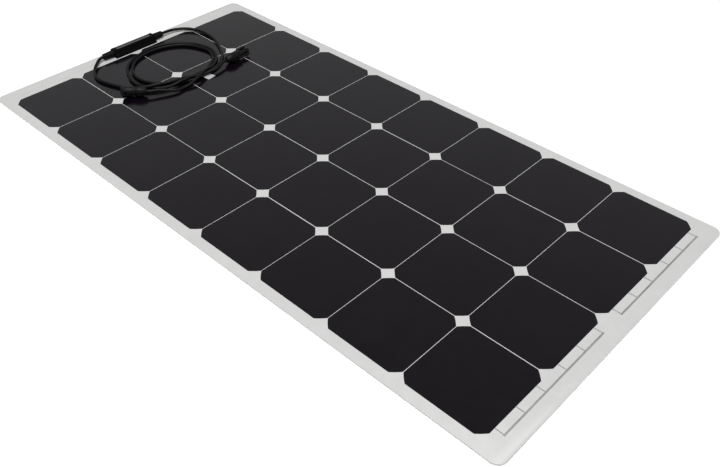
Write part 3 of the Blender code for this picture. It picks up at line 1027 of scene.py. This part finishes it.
def make_plug(plastic):
    """The plug: a hollow probe, two latch fingers with hooks, and the notched collar."""
    profile = [
        (0, 40),
        (1.5, 40),
        (2.2, 41),
        (2.2, 53.6),
        (2.5, 54),
        (4.3, 54),
        (4.8, 53.2),
        (4.8, 37),
        (4.3, 36.8),
        (4.3, 34.8),
        (6.4, 34.2),
        (7.1, 33),
        (7.2, 31),
        (7.2, 21.6),
        *COLLAR_PROFILE,
        *THREAD_PROFILE,
    ]
    plug = turned("plug_shell", profile, plastic)
    for side in (-1, 1):
        inner, outer = sorted((side * 6.5, side * 8.5))
        cut(plug, bar((inner, -2.5, 24), (outer, 2.5, 52)), "UNION")
        inner, outer = sorted((side * 7.7, side * 9.4))
        cut(plug, bar((inner, -2.5, 44.5), (outer, 2.5, 49)), "UNION")
    notch_collar(plug)
    soften(plug, 0.3 * MM)
    return seat(plug, "plug_housing", PANELS[0], PLUG_TAIL, PLUG_HEADING, PLUG_ROLL)


def make_socket(plastic):
    """The socket: a sleeve with two latch windows, and the notched collar."""
    profile = [
        (0, 24),
        (6.4, 24),
        (6.4, 43.6),
        (6.7, 44),
        (8.0, 44),
        (8.4, 43.4),
        (8.4, 25.8),
        (7.5, 24.4),
        (7.4, 23.6),
        (7.4, 21.6),
        *COLLAR_PROFILE,
        *THREAD_PROFILE,
    ]
    socket = turned("socket_shell", profile, plastic)
    cut(socket, bar((-12, -2.7, 32.05), (12, 2.7, 37.55)))
    notch_collar(socket)
    soften(socket, 0.3 * MM)
    return seat(socket, "socket_housing", PANELS[0], SOCKET_TAIL, SOCKET_HEADING)


def make_label(paper):
    """A small blank sticker beside the coil, one corner slightly lifted."""
    form = bmesh.new()
    bmesh.ops.create_grid(form, x_segments=12, y_segments=12, size=0.5)
    for vert in form.verts:
        x, y = vert.co.x, vert.co.y
        lift = 3 * MM * max(0.0, x - y - 0.55) ** 2
        across = LABEL_SIDE * (x * math.cos(LABEL_TURN) - y * math.sin(LABEL_TURN))
        along = LABEL_SIDE * (x * math.sin(LABEL_TURN) + y * math.cos(LABEL_TURN))
        height = CELL_TOP + 0.08 * MM + lift
        vert.co = (LABEL_PLACE.x + across, LABEL_PLACE.y + along, height)
    label = from_bmesh(form, "sticker", paper)
    thick = label.modifiers.new("paper", "SOLIDIFY")
    thick.thickness = 0.14 * MM
    thick.offset = 1
    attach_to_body(label, PANELS[0])


make_camera()
(left_lead, left_length), (right_lead, right_length) = make_leads()
make_studio()

plastics = {name: plastic_look(name, *values) for name, values in PLASTICS.items()}
ribbon_tin = metal_look("ribbon", (0.20, 0.20, 0.19), (0.28, 0.28, 0.26), 0.4, 0.3)
faint_tin = metal_look("faint_ribbon", (0.42, 0.42, 0.40), (0.48, 0.48, 0.46), 0.4, 0.1)
contact_tin = metal_look("contact_tin", (0.55, 0.55, 0.53), (0.68, 0.68, 0.65), 0.28, 1.0)

make_laminate(film_look(), back_look())
make_cells(silicon_look())
make_ribbons(ribbon_tin, faint_tin)
make_box(plastics["box_plastic"], plastics["box_top_painted_highlight"])
reliefs = make_reliefs(plastics["rubber"])
shell = plastics["connector_plastic"]
plug_cap = make_cap("plug_cap_nut_shell", "plug_cap", "plug_cap_nut", PLUG_TAIL, PLUG_HEADING, shell)
socket_cap = make_cap(
    "socket_cap_nut_shell", "socket_cap", "socket_cap_nut", SOCKET_TAIL, SOCKET_HEADING, shell
)
plug = make_plug(shell)
socket = make_socket(shell)
make_label(paper_look())

for node, material in (
    ("bypass_diode", plastics["diode_epoxy"]),
    ("plug_seal", plastics["rubber"]),
    ("socket_seal", plastics["rubber"]),
    ("plug_contact", contact_tin),
    ("socket_contact", contact_tin),
):
    mesh = frame["nodes"][node].data
    mesh.materials.clear()
    mesh.materials.append(material)

for thing, length, side, node, shells in (
    (left_lead, left_length, "left", "left_lead_to_plug", [plug, plug_cap]),
    (right_lead, right_length, "right", "right_lead_to_socket", [socket, socket_cap]),
):
    thing.data.materials.append(plastics["lead_jacket"])
    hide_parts(f"{side}_lead_from_box", node, "lead_coil")
    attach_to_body(thing, PANELS[0])
